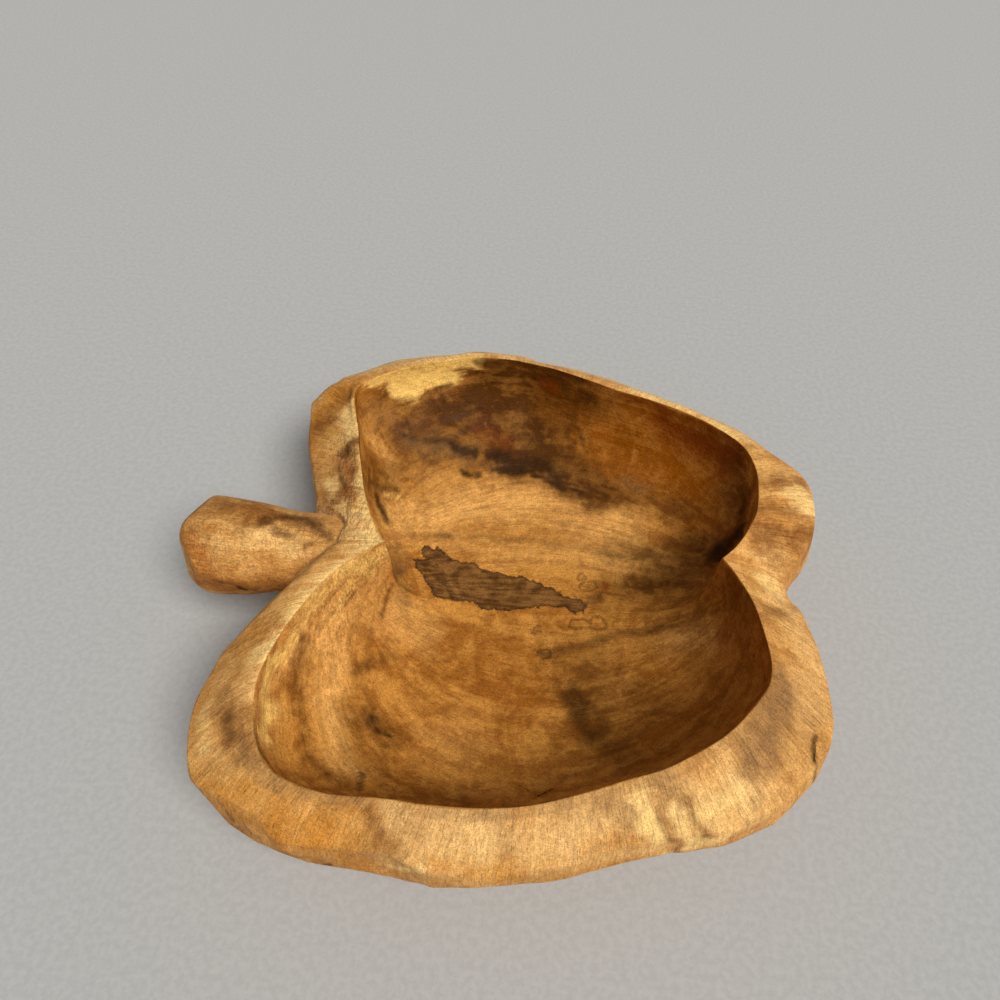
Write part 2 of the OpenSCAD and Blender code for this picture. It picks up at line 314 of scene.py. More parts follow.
stem = {
    "seat": -98.0, "axis": 49.98, "neckR": 20.52, "neckLength": 30.0, "knobR": 26.52, "knobAt": 66.0,
    "length": 87.0, "endR": 14.0, "turns": 192, "seatRows": 6, "sideRows": 134, "endRows": 10,
    "capShares": (0.1, 0.95), "housingShare": 0.86, "housingReach": 6.0,
    "freeFrom": 26.0, "freeOver": 14.0,   # the neck inside the housing stays round
    "shrink": 0.1, "ripple": 0.35, "rippleLength": 22.0, "seed": 23, "soft": 0.7,
    # knife flats: the way that a flat faces, and its depth
    "flats": (
        ((-0.73, -0.67, 0.20), 4.6), ((-0.69, 0.33, 0.65), 3.0), ((0.05, 0.82, 0.57), 2.6),
        ((-0.05, 0.32, 0.94), 2.6), ((-0.06, -0.64, 0.76), 2.2), ((0.02, -0.99, -0.08), 1.4),
        ((0.06, -0.86, -0.50), 0.6), ((-0.46, -0.86, -0.22), 0.8), ((-0.35, -0.50, 0.79), 1.6),
        ((-0.88, -0.18, 0.43), 0.4), ((-0.10, 0.05, -0.99), 1.2), ((-0.62, -0.20, -0.75), 3.0),
        ((-0.10, 0.97, -0.20), 1.4), ((-0.10, 0.62, -0.78), 1.6), ((-0.70, 0.40, -0.60), 2.4),
    ),
}

# ring of filler: each smear has its size, the wavelength round the ring, and its least and most
filler = {
    "width": 2.0, "turns": 256, "proud": 0.3, "gap": 0.1, "seed": 31, "waves": 12,
    "smearNeck": (2.4, 1.1, 0.6, 9.0), "smearBowl": (1.8, 0.9, 0.5, 2.6),
    "smearMean": 0.55, "smearVary": 0.45, "underNeck": 2.0, "underBowl": 1.6,
    "lipSink": 0.35, "lipShare": 0.3, "edgeSink": 0.2,
    "crown": ((0.6, 0.9), (1.2, 0.6), (1.8, 0.45)),   # out from the neck, and out from the joint
    "searchTurns": (130.0, 230.0), "searchSteps": 400, "halvings": 30,
}


# presses the outside of the bowl in to the housing of the neck: a round wall, then the flat seat
def pressHousing(points):
    edge, share = stem["neckR"] + filler["width"], stem["housingShare"]
    y, z = points[..., 1], points[..., 2] - stem["axis"]
    away = np.maximum(np.hypot(y, z), 1e-6)
    q = away / edge
    sink = np.clip((1 - q) / (1 - share), 0, 1)
    ring = np.where(q > share, edge, edge * q / share)
    pressed = np.stack([points[..., 0] + (stem["seat"] - points[..., 0]) * sink,
                        ring * y / away, stem["axis"] + ring * z / away], -1)
    inside = (q < 1) & (points[..., 0] < stem["seat"] + stem["housingReach"])
    return np.where(inside[..., None], pressed, points)


# rounds an edge: the rows beside it are drawn, a share of the way, to the mean with their neighbours
def roundRows(points, edge, rounding, share=1.0):
    before, after, rounds = rounding
    first, last = edge - before, edge + after
    for _ in range(rounds):
        mean = (points[first - 1:last - 1] + 2 * points[first:last] + points[first + 1:last + 1]) / 4
        points[first:last] += share * (mean - points[first:last])


def carveBowl():
    turn = np.linspace(-180, 180, bowl["turns"], endpoint=False)[None, :]
    footShare = np.linspace(bowl["footStart"], 1, bowl["footRows"])[:, None] ** bowl["footPower"]
    footRadius = (softRadius(turn) - bowl["footInset"]) * footShare
    kTuck = evenSteps(bowl["tuckRows"], bowl["tuckPower"])[1:, None]
    kShoulder = evenSteps(bowl["shoulderRows"], bowl["shoulderPower"])[1:, None]
    strip = np.linspace(0, 1, bowl["stripRows"] + 2)[1:-1, None]
    kHollow = evenSteps(bowl["hollowRows"], bowl["hollowPower"], bowl["crowding"])[:-1, None]
    rim, hollow = rimRadius(turn), hollowRadius(turn)
    parts = [
        (footRadius, 0 * footRadius),
        tuckAt(turn, kTuck),
        shoulderAt(turn, kShoulder),
        (rim + (hollow - rim) * strip, bowl["height"] - bowl["rimDrop"] * (1 - strip)),
        hollowAt(turn, kHollow),
    ]
    radius = np.concatenate([r for r, z in parts])
    height = np.concatenate([np.broadcast_to(z, r.shape) for r, z in parts])
    counts = np.cumsum([len(r) for r, z in parts])
    turns = np.broadcast_to(turn, radius.shape)
    points = polarToPoints(turns, radius, height)
    rows = np.arange(len(radius))[:, None]
    skin = slice(counts[0], counts[2])
    planes = setFlats(points[skin], turns[skin])
    points[skin] = shave(points[skin], planes)
    # carving unevenness along the normals
    wave = unevenness(points, bowl["rippleLength"], bowl["seed"])
    outward = bowl["fullness"] - bowl["rippleOut"] * asShare(wave)
    move = np.where(rows < counts[3], outward, bowl["rippleIn"] * wave) * (rows >= counts[0])
    points = points + gridNormals(points) * move[..., None]
    # the outer edge of the strip is rounded, the inner one stays crisp but by the front flank of the stem
    off = np.abs(wrapTurn(turn) - bowl["flankTurn"])
    flank = ease((bowl["flankHalf"] - off) / bowl["flankFade"])[..., None]
    roundRows(points, counts[2], bowl["outerRounding"])
    roundRows(points, counts[3], bowl["innerRounding"])
    roundRows(points, counts[3], bowl["flankRounding"], flank)
    points = np.clip(points, np.array(cadBox[0]) / mm, np.array(cadBox[1]) / mm)
    points[:counts[0], :, 2] = 0
    run = np.cumsum(np.linalg.norm(np.diff(points, axis=0, prepend=points[:1]), axis=-1), 0).mean(1)
    points[skin] = pressHousing(points[skin])
    return points, turns, counts, planes, run


placeCamera()
bowlGrid, bowlTurns, bowlCounts, flatPlanes, bowlRun = carveBowl()
print("bowl carved:", bowlGrid.shape[0], "rows by", bowlGrid.shape[1], "turns")


# radius of the stem at s along its axis: straight neck, eased swell to the knob, elliptical end
def stemRadius(s):
    swell = stem["neckR"] + (stem["knobR"] - stem["neckR"]) * ease(
        (s - stem["neckLength"]) / (stem["knobAt"] - stem["neckLength"]))
    t = np.clip((s - stem["knobAt"]) / (stem["length"] - stem["knobAt"]), 0, 1)
    end = stem["endR"] + (stem["knobR"] - stem["endR"]) * np.sqrt(1 - t * t)
    return np.where(s > stem["knobAt"], end, swell)


def carveStem():
    angle = np.linspace(0, 2 * np.pi, stem["turns"], endpoint=False)[None, :]
    seat, side, end = stem["seatRows"], stem["sideRows"], stem["endRows"]
    first, last = stem["capShares"]
    s = np.concatenate([np.zeros(seat), np.linspace(0, stem["length"], side), np.full(end, stem["length"])])
    share = np.concatenate([np.linspace(first, last, seat), np.ones(side), np.linspace(last, first, end)])
    radius = (stemRadius(s) * share)[:, None]
    points = np.stack([stem["seat"] - s[:, None] + 0 * angle, -radius * np.cos(angle),
                       stem["axis"] + radius * np.sin(angle)], -1)
    free = ease((s - stem["freeFrom"]) / stem["freeOver"])[:, None]
    for way, depth in stem["flats"]:
        way = unit(way)
        along = points @ way
        points = points - (softCut(along - along.max() + depth, stem["soft"]) * free)[..., None] * way
    wave = unevenness(points, stem["rippleLength"], stem["seed"])
    inward = stem["shrink"] + stem["ripple"] * asShare(wave) * free
    return points - gridNormals(points) * inward[..., None]


stemGrid = carveStem()
print("stem carved:", stemGrid.shape[0], "rows by", stemGrid.shape[1], "turns")


# outside of the bowl beside the stem: the height gives the step k, and halving finds the turn for each Y
def outsideAt(y, z):
    k = np.linspace(0, 1, filler["searchSteps"])
    kUpper = np.interp(z, shoulderAt(np.array([180.0]), k)[1], k)
    fall = np.clip(1 - z / bowl["belly"], 0, 1)
    kLower = np.arccos(fall ** (bowl["tuckPower"] / 2)) * 2 / np.pi

    def section(turn):
        r = np.where(z >= bowl["belly"], shoulderAt(turn, kUpper)[0], tuckAt(turn, kLower)[0])
        return polarToPoints(turn, r, z)

    low, high = (np.full(y.shape, turn) for turn in filler["searchTurns"])
    for _ in range(filler["halvings"]):
        middle = (low + high) / 2
        beyond = section(middle)[..., 1] > y
        low, high = np.where(beyond, middle, low), np.where(beyond, high, middle)
    return shave(section(low), flatPlanes)[..., 0] - bowl["fullness"] + bowl["rippleOut"] / 2


# ring of filler: a closed profile from the seat up the neck, over the joint and down the housing
def packFiller():
    angle = np.linspace(0, 2 * np.pi, filler["turns"], endpoint=False)
    dy, dz = -np.cos(angle), np.sin(angle)
    flat = 0 * dy
    around = np.stack([dy, dz, flat], -1)
    neck, edge = stem["neckR"], stem["neckR"] + filler["width"]
    gap, proud = filler["gap"], filler["proud"]

    def smear(kind, seed):
        size, length, least, most = filler[kind]
        uneven = filler["smearVary"] * unevenness(around, length, seed, filler["waves"])
        return np.clip(size * (filler["smearMean"] + uneven), least, most)

    def bowlX(r):
        return outsideAt(r * dy, stem["axis"] + r * dz)

    mouth = bowlX(edge + flat)
    lip = mouth - smear("smearNeck", filler["seed"])
    spread = edge + smear("smearBowl", filler["seed"] + 1)
    half = edge + 0.5 * (spread - edge)
    onStem = stemRadius(stem["seat"] - lip)
    profile = [
        (neck + gap + flat, stem["seat"] + flat),
        (neck + gap + flat, mouth + filler["underNeck"]),
        (onStem - filler["lipSink"], lip),
        (onStem + 0.5 * proud, lip + filler["lipShare"] * (mouth - lip)),
        *[(neck + out + flat, mouth - ahead) for out, ahead in filler["crown"]],
        (half, bowlX(half) - proud),
        (spread, bowlX(spread) + filler["edgeSink"]),
        (edge - gap + flat, mouth + filler["underBowl"]),
        (edge - gap + flat, stem["seat"] + flat),
    ]
    radius = np.stack([r for r, x in profile])
    along = np.stack([x for r, x in profile])
    return np.stack([along, radius * dy, stem["axis"] + radius * dz], -1)


fillerGrid = packFiller()
print("filler packed:", fillerGrid.shape[0], "rows by", fillerGrid.shape[1], "turns")

# marks of the wood as strokes: reach in mm, strength, then the pixels x and y of a path in the photograph;
# wood that is light, amber, umber, red or grey, pale sapwood, dark streaks, and places rough from the
# gouge; some light, pale, amber and dark strokes are also painted light and painted shade, as said beside
# them
hollowMarks = {
    "light": (
        (22, 0.8, 395,520, 440,505, 500,497, 560,510, 620,530), (10, 0.75, 400,514, 440,509, 480,514),
        (13, 0.45, 440,540, 520,552, 600,560, 660,556),
        (13, 1.0, 380,546, 338,576, 302,620, 276,663, 264,702, 262,740),
        # fan beside the stem: pale streaks of the wood; the second stroke here also paints light over the
        # shade that the stem casts on the fan
        (20, 0.9, 372,572, 345,605, 318,645), (14, 0.9, 366,570, 346,598, 330,610),
        (10, 0.85, 330,640, 330,690, 337,735, 343,765), (13, 0.7, 372,440, 385,455, 392,468),
        (14, 0.65, 685,640, 708,640), (16, 0.6, 395,615, 424,638), (18, 0.3, 440,735, 470,748),
    ),
    "amber": (
        # these amber strokes and those on the next line are partly the wood's dark orange-brown and partly
        # painted shade on the right walls of the hollow
        (30, 0.95, 565,398, 600,425, 640,445, 690,465), (20, 0.8, 640,402, 680,425, 720,455),
        (20, 0.7, 610,475, 660,485, 710,500, 700,520), (30, 0.6, 740,590, 756,640, 755,690, 715,730),
        (26, 0.5, 690,670, 665,705, 640,750), (26, 0.35, 460,662, 500,672, 530,690),
        (10, 0.6, 548,402, 558,418),
    ),
    "umber": (
        (20, 0.95, 486,368, 510,374, 540,382, 566,390, 585,396),
        (22, 0.85, 470,392, 500,400, 525,410, 545,424), (14, 0.75, 450,412, 475,420, 505,430),
        (14, 0.7, 385,406, 410,410, 440,408, 480,404),
        (12, 0.7, 398,431, 420,428, 450,428, 475,422, 492,418),
        (15, 0.8, 412,442, 440,448, 480,446, 520,440), (15, 1.0, 498,459, 530,463, 560,475, 592,490),
        (12, 0.9, 512,456, 540,453, 566,464), (16, 0.95, 540,430, 555,444, 572,464),
        (16, 0.5, 366,480, 400,474, 425,466, 440,460), (12, 0.6, 590,494, 640,502, 685,510),
        (14, 0.5, 690,440, 732,460), (14, 0.85, 746,496, 742,520, 726,548),
        (9, 0.55, 612,549, 650,550, 690,543, 722,556), (9, 0.45, 635,585, 660,580, 685,573, 717,562),
        (18, 0.35, 742,600, 700,610, 660,622, 610,636, 560,650), (20, 0.5, 590,664, 625,682, 650,705),
        (12, 0.5, 600,594, 625,590, 652,584), (22, 0.5, 622,586, 665,576, 708,566),
        (20, 0.7, 584,700, 599,724, 614,746), (2, 0.6, 374,565, 366,575), (1.5, 0.6, 355,592, 347,604),
        (1.5, 0.6, 350,592, 344,602), (2, 0.2, 378,556, 345,596, 318,634),
        (2, 0.3, 384,562, 362,606, 346,650), (1.5, 0.25, 372,556, 330,598, 304,640),
        (1.5, 0.3, 368,580, 340,625, 328,655), (2, 0.35, 388,566, 374,620, 366,670),
        (6, 0.6, 303,640, 299,670, 298,700, 303,735, 319,768, 346,788),
        (8, 0.55, 370,716, 382,730, 394,740), (2.5, 0.7, 402,570, 392,585, 384,604, 381,614),
        (3.5, 0.5, 408,588, 405,604), (5, 0.5, 352,672, 372,664, 388,656),
        (12, 0.4, 355,700, 362,760, 400,790, 470,795),
    ),
    "red": (
        (10, 0.35, 480,432, 495,440, 508,446), (14, 0.6, 668,428, 700,440, 725,455),
        (5, 0.5, 545,384, 556,390), (3, 0.7, 599,588, 606,588),
    ),
    "grey": (
        (10, 0.5, 366,410, 376,420), (9, 0.6, 418,445, 450,450, 472,452), (9, 0.5, 392,548, 402,562),
        (8, 0.55, 402,575, 399,600), (7, 0.5, 625,482, 645,490),
    ),
    "pale": (
        (8, 1.0, 372,381, 400,372, 430,366, 460,361, 474,360), (10, 1.0, 394,386, 420,380, 446,372),
        (7, 1.0, 400,393, 416,391), (5, 0.6, 388,497, 397,496),
        (10, 0.45, 380,546, 338,576, 302,620, 276,663), (8, 0.8, 272,664, 266,702, 266,740),
        # painted light over the stem's shade on the fan, with pale flecks of the wood
        (12, 0.4, 362,572, 342,602),
    ),
    "dark": (
        (9, 0.75, 500,462, 518,460, 542,465, 562,477),
        (2.5, 0.8, 492,471, 510,470, 527,473, 545,480, 562,488, 582,493),
        (2.5, 0.5, 548,399, 565,413, 578,431, 588,452), (6, 0.9, 455,447, 474,452),
        (4.5, 0.9, 464,470, 475,473), (4, 0.65, 408,436, 430,441, 450,442), (3, 0.6, 396,432, 404,433),
        (5, 0.65, 478,361, 520,364, 560,373, 580,380), (3, 0.6, 398,400, 420,397, 440,388, 452,383),
        (10, 0.35, 722,450, 735,460, 738,478), (8, 0.8, 716,556, 726,546, 740,530),
        # painted shade: a dark line along the undercut inner edge at the back left, and a dark spot where
        # the stem-side ridge is in shade
        (2, 0.8, 357,400, 358,440, 360,465), (5, 0.8, 377,497, 382,508, 386,520),
        (6, 0.6, 370,480, 380,488, 395,488), (5, 0.42, 440,537, 516,541, 577,549, 639,556, 690,558),
        (4.5, 0.4, 392,535, 420,536, 450,536),
        (5, 0.5, 546,656, 560,650, 582,644, 610,636, 640,630, 672,626),
        (13, 0.6, 579,701, 587,718, 599,738), (4.5, 0.8, 374,720, 378,728), (5, 0.6, 582,600, 598,597),
        (4, 0.45, 584,586, 597,584), (3, 0.25, 540,650, 548,656), (2, 0.8, 378,730, 388,737),
        (2, 0.7, 372,716, 380,719), (3, 0.7, 360,772, 358,791), (2, 0.4, 355,664, 354,700, 356,740),
        (3.5, 0.6, 251,722, 257,748, 268,762),
    ),
}
outsideMarks = {
    "light": (
        (20, 0.95, 430,852, 500,852, 570,846, 630,832, 700,815, 750,800),
        (10, 0.7, 400,818, 440,822, 480,820),
        (14, 1.0, 350,376, 405,362, 460,354, 540,361, 620,383, 690,410, 745,437),
        (13, 0.9, 795,488, 810,506), (14, 0.6, 770,560, 780,600, 810,660, 822,700),
        (12, 0.6, 798,690, 806,715), (16, 0.95, 340,512, 360,528, 380,545), (6, 0.7, 345,420, 350,440),
        # the second stroke here lightens the front-left face edge, which turns away from the key: partly
        # the wood's light tone and partly painted light
        (10, 0.65, 370,560, 320,610, 285,655, 262,690), (10, 0.9, 202,742, 206,708, 228,668),
        (12, 0.45, 238,785, 262,802), (10, 0.4, 208,758, 220,780),
    ),
    "amber": (
        (14, 0.55, 196,740, 205,700, 225,665, 255,630), (18, 0.75, 225,805, 260,826, 310,848, 360,868),
        (14, 0.5, 265,800, 300,815, 335,835), (16, 0.95, 312,450, 318,415, 345,390),
        (12, 0.6, 500,870, 560,874, 600,868), (8, 0.55, 594,843, 628,839, 660,832),
        (8, 0.5, 436,866, 478,872, 520,870),
    ),
    "umber": (
        (12, 0.8, 318,430, 330,415, 345,398), (8, 0.7, 356,441, 344,450, 338,459),
        (7, 0.45, 320,468, 332,472), (8, 0.6, 344,464, 345,478, 350,490), (5, 0.5, 324,503, 336,500),
        (10, 0.75, 226,714, 233,735, 247,751), (9, 0.5, 230,826, 270,850, 330,870),
        (6, 0.65, 368,815, 378,835, 392,852), (5, 0.6, 657,812, 669,832, 679,852),
        (8, 0.25, 575,854, 604,848, 630,840), (6, 0.4, 489,812, 499,832, 508,852),
        (5, 0.65, 690,800, 698,818, 708,836), (7, 0.65, 762,480, 780,480, 801,483),
        (5, 0.6, 758,508, 783,508, 810,517), (10, 0.85, 757,533, 780,533, 808,540),
        (7, 0.5, 760,612, 778,610), (8, 0.3, 775,560, 805,556), (12, 0.45, 772,700, 782,730, 772,760),
    ),
    "red": ((8, 0.5, 346,462, 344,474, 348,488),),
    "grey": (
        (5, 0.55, 350,534, 333,545, 313,560, 296,578), (8, 0.7, 268,768, 295,785, 330,798, 355,802),
        (7, 0.7, 604,806, 620,812, 629,818), (13, 0.95, 747,757, 769,727, 780,692),
        (9, 0.3, 812,715, 816,742, 806,772), (7, 0.6, 655,788, 680,784), (8, 0.4, 556,806, 582,813),
        (5, 0.55, 748,778, 757,802), (5, 0.35, 668,798, 678,820), (4, 0.35, 619,867, 670,856, 708,849),
        (6, 0.45, 245,753, 265,765, 287,773), (10, 0.45, 228,708, 234,730, 246,748),
        (6, 0.3, 440,808, 480,814, 510,812), (8, 0.35, 392,824, 420,832),
    ),
    "pale": (
        (9, 0.8, 350,412, 352,432), (6, 0.8, 328,482, 333,492), (13, 0.9, 346,518, 365,530, 378,543),
        (6, 0.8, 360,472, 366,490, 374,510), (8, 0.85, 386,548, 352,580, 312,622, 280,664),
        # the second stroke here is painted light on the front-left face edge, which turns away from the key
        (8, 0.65, 376,541, 348,561, 322,585, 300,612), (6, 0.5, 201,745, 203,722, 208,702),
        (12, 0.75, 765,575, 775,590), (10, 0.8, 400,361, 440,356, 480,354),
        (9, 0.7, 640,391, 690,411, 730,430), (12, 0.75, 796,490, 808,504),
        (10, 0.6, 712,808, 735,800, 752,800), (7, 0.9, 634,798, 645,820, 656,840),
        (6, 0.7, 676,808, 684,824, 692,840), (5, 0.7, 386,865, 400,868, 416,870),
        # painted light on the lower facets, which face down into shade
        (5, 0.55, 664,856, 700,845, 732,834),
    ),
    "dark": (
        (2.5, 0.55, 657,817, 666,834, 677,852), (2.5, 0.55, 690,803, 697,820, 704,836),
        (3, 0.5, 761,800, 763,815), (3, 0.8, 816,740, 815,760, 811,784), (5, 0.6, 226,722, 234,736),
        (4, 0.6, 226,812, 233,820), (2, 0.9, 325,867, 329,867), (5, 0.75, 359,440, 350,444, 342,452),
        (3, 0.5, 330,423, 340,416), (2, 0.6, 338,468, 340,478, 347,490),
        (2.5, 0.55, 332,501, 341,502, 347,496),
    ),
    "rough": (
        (20, 1.0, 346,518, 365,530, 378,543), (12, 1.0, 340,440, 348,470, 362,495, 372,515),
        (14, 0.8, 360,560, 320,595, 290,640), (16, 0.5, 770,560, 790,620),
    ),
}
stemMarks = {
    "light": ((14, 0.8, 225,550, 255,542, 285,550),),
    "amber": ((12, 0.6, 195,545, 205,575, 230,588, 270,590), (18, 0.35, 240,558, 300,560),),
    "umber": (
        (9, 0.75, 190,515, 215,502, 245,503, 270,511), (8, 0.75, 245,522, 270,519, 295,518, 315,522),
        (10, 0.35, 188,525, 215,515, 240,515), (10, 0.65, 204,582, 235,588, 275,588),
    ),
    "red": ((12, 0.55, 188,535, 200,550, 205,570),),
    "grey": ((6, 0.8, 300,520, 318,526, 331,536),),
    "pale": ((9, 0.35, 240,550, 262,545, 285,548), (3, 0.55, 179,545, 185,562, 193,580),),
    "dark": (
        (5, 0.75, 262,522, 285,516, 305,520, 330,534), (4, 0.65, 274,531, 291,535),
        (3, 0.65, 304,546, 316,541), (4, 0.55, 215,580, 235,585, 253,588), (2, 0.9, 238,588, 244,589),
    ),
    "rough": ((32, 0.6, 210,540, 250,550, 310,545),),
}
marks = {"hollow": hollowMarks, "outside": outsideMarks, "stem": stemMarks}

# dark spill on the floor, droplet rings (middle and half sizes) and cracks, in the same pixels
spill = (
    413,559, 427,559, 420,552, 428,545, 434,549, 439,547, 444,552, 451,559, 467,562, 473,562, 482,570,
    498,571, 513,578, 520,577, 530,578, 553,588, 566,595, 582,599, 586,605, 583,612, 574,613, 568,607,
    542,608, 520,609, 506,611, 491,609, 482,609, 472,602, 451,600, 436,597, 427,583, 423,576, 417,569,
)
droplets = (
    (580, 624, 11, 5), (598, 623, 7, 7), (544, 653, 7, 4.5), (582, 577, 4, 3), (588, 586, 8, 5),
    (537, 630, 4, 3),
)
cracks = (
    ("hollow", 519,785, 539,796, 555,787), ("outside", 815,742, 814,760, 812,780),
    ("outside", 824,752, 826,762), ("stem", 236,586, 247,590),
)

# reading of the marks: a stroke fades out over its reach times spread, and from a reach of wanderFrom it
# wanders fully, by swirls of three sizes (size and wavelength in mm, seed); a drop is a wobbly ellipse
reading = {
    "nearest": 4, "softening": 0.5, "far": 50.0, "spread": 1.25, "wanderFrom": 12,
    "swirls": ((2.6, 34.0, 40), (1.6, 12.0, 43), (1.0, 5.0, 46)),
    "loopSteps": 19, "wobble": 0.15, "lobes": 3,
}


# places on a surface seen at some pixels: the mean of the nearest points, by closeness
def spotsAt(points, pixels, path):
    count = reading["nearest"]
    off = ((pixels[None] - path[:, None]) ** 2).sum(-1)
    near = np.argpartition(off, count, axis=1)[:, :count]
    weight = 1 / (np.take_along_axis(off, near, 1) + reading["softening"])
    return (points[near] * weight[..., None]).sum(1) / weight.sum(1, keepdims=True)


# least distance from points to a path of straight pieces
def distanceTo(points, path):
    best = np.full(len(points), 1e9)
    for a, b in zip(path, np.concatenate([path[1:], path[-1:]])):
        along = b - a
        t = np.clip((points - a) @ along / max(along @ along, 1e-9), 0, 1)
        best = np.minimum(best, np.linalg.norm(points - a - t[:, None] * along, axis=1))
    return best


# signed distance in plan to a closed path: negative inside, where a ray crosses it an odd number of times
def insideDistance(points, path):
    ring = np.concatenate([path, path[:1]])
    odd = np.zeros(len(points), bool)
    for a, b in zip(ring[:-1], ring[1:]):
        spans = (a[1] > points[:, 1]) != (b[1] > points[:, 1])
        cross = a[0] + (points[:, 1] - a[1]) / (b[1] - a[1] if b[1] != a[1] else 1e-9) * (b[0] - a[0])
        odd ^= spans & (points[:, 0] < cross)
    distance = distanceTo(points * (1, 1, 0), ring * (1, 1, 0))
    return np.where(odd, -distance, distance)


# amounts of each kind of mark on a piece's points, and distances to its spill, rings and cracks
def readMarks(points, normals, zones):
    pixels = pixelOf(points)
    toward = ((np.array(camera["at"]) - points) * normals).sum(-1) > 0
    far = reading["far"]
    values = {kind: np.zeros(len(points)) for kind in outsideMarks}   # the outside has every kind
    values.update({kind: np.full(len(points), far) for kind in ("spill", "ring", "crack")})

    def placed(zone, path):
        seen = np.flatnonzero(zones[zone] & toward)
        return spotsAt(points[seen], pixels[seen], np.reshape(path, (-1, 2)))

    def bringNear(kind, zone, path):
        here = zones[zone]
        distance = distanceTo(points[here], placed(zone, path))
        values[kind][here] = np.minimum(values[kind][here], distance)

    wander = np.zeros(points.shape)
    for size, length, seed in reading["swirls"]:
        wander += size * np.stack([unevenness(points, length, seed + axis) for axis in range(3)], -1)
    for zone, here in zones.items():
        for kind, strokes in marks[zone].items():
            for reach, strength, *path in strokes:
                shifted = points[here] + min(1, reach / reading["wanderFrom"]) * wander[here]
                distance = distanceTo(shifted, placed(zone, path))
                fade = strength * ease(1 - distance / (reading["spread"] * reach))
                values[kind][here] = 1 - (1 - values[kind][here]) * (1 - fade)
    for zone, *path in cracks:
        if zone in zones:
            bringNear("crack", zone, path)
    if "hollow" in zones:
        here = zones["hollow"]
        inside = insideDistance(points[here], placed("hollow", spill))
        values["spill"][here] = np.clip(inside, -far, far)
        turn = np.linspace(0, 2 * np.pi, reading["loopSteps"])
        wobble = 1 + reading["wobble"] * np.sin(reading["lobes"] * turn)
        for x, y, a, b in droplets:
            bringNear("ring", "hollow", np.stack([x + a * np.cos(turn) * wobble, y + b * np.sin(turn)], -1))
    return values


# run of the grain inside: lines that leave the stem's notch, spread over the floor and close on the other
grain = {
    "from": (-104.0, -6.0), "to": (102.0, 6.0), "scale": 50.0, "stretch": 10.0, "rise": 0.8, "round": 125.0,
}


def hollowGrain(points):
    x, y, z = points.T
    (sx, sy), (tx, ty) = grain["from"], grain["to"]
    along = grain["scale"] * np.log(np.hypot(x - sx, y - sy) / np.hypot(x - tx, y - ty))
    across = grain["scale"] * (np.arctan2(y - sy, x - sx) + np.arctan2(y - ty, tx - x))
    return np.stack([along / grain["stretch"], across, grain["rise"] * z], -1)


# outside the grain runs up and over the rim: a circle for the turn, and the run of the section
def outsideGrain(turns, run):
    a = np.radians(turns)
    return np.stack([grain["round"] * np.cos(a), grain["round"] * np.sin(a), run / grain["stretch"]], -1)


# points, normals and faces of a grid with a point in the middle of each end
def closeGrid(grid, ends, endNormals):
    rows, turns = grid.shape[:2]
    points = np.concatenate([grid.reshape(-1, 3), ends])
    normals = np.concatenate([gridNormals(grid).reshape(-1, 3), endNormals])
    return points, normals, ringQuads(rows, turns).tolist() + capFans(rows, turns).tolist()


def makeBowl():
    rows, turns = bowlGrid.shape[:2]
    ends = np.array([[0, 0, 0], [0, 0, bowlGrid[-1, :, 2].mean()]])
    points, normals, faces = closeGrid(bowlGrid, ends, [[0, 0, -1], [0, 0, 1]])
    row = np.concatenate([np.repeat(np.arange(rows), turns), [0, rows]])
    footEnd, skinEnd, stripEnd = bowlCounts[0], bowlCounts[2], bowlCounts[3]
    zones = {"outside": (row >= footEnd) & (row < stripEnd), "hollow": row >= stripEnd}
    values = readMarks(points, normals, zones)
    lines = hollowGrain(points)
    outer = zones["outside"][:-2]
    lines[:-2][outer] = outsideGrain(bowlTurns.ravel()[outer], np.repeat(bowlRun, turns)[outer])
    under = row < footEnd
    lines[under] = points[under] * (1 / grain["stretch"], 1, 1)
    values["lines"] = lines
    values["outside"] = (row < stripEnd).astype(float)
    turn = wrapTurn(bowlTurns.ravel())
    # the strip round the rim is greyest along the front lobe
    (first, last), fade = bowl["greyTurns"], bowl["greyFade"]
    grey = np.concatenate([ease((last - turn) / fade) * ease((turn - first) / fade), [0, 0]])
    values["strip"] = grey * ((row >= skinEnd) & (row < stripEnd))
    return makePiece("bowlSkin", points, faces, values)


def makeStem():
    points, normals, faces = closeGrid(stemGrid, stemGrid[[0, -1]].mean(1), [[1, 0, 0], [-1, 0, 0]])
    values = readMarks(points, normals, {"stem": np.ones(len(points), bool)})
    values["lines"] = points[:, [1, 2, 0]] * (1, 1, 1 / grain["stretch"])
    values["outside"] = np.ones(len(points))
    values["strip"] = np.zeros(len(points))
    return makePiece("stemSkin", points, faces, values)


def makeFiller():
    rows, turns = fillerGrid.shape[:2]
    return makePiece("fillerRing", fillerGrid.reshape(-1, 3), ringQuads(rows, turns, True).tolist(), {})


bowlSkin, stemSkin, fillerRing = makeBowl(), makeStem(), makeFiller()
for piece in (bowlSkin, stemSkin, fillerRing):
    print("piece made:", piece.name, len(piece.data.polygons), "faces")


def tint(red, green, blue):  # display values of 0 to 255 as the linear colour of a socket
    c = np.array([red, green, blue]) / 255
    return (*np.where(c <= 0.04045, c / 12.92, ((c + 0.055) / 1.055) ** 2.4), 1.0)


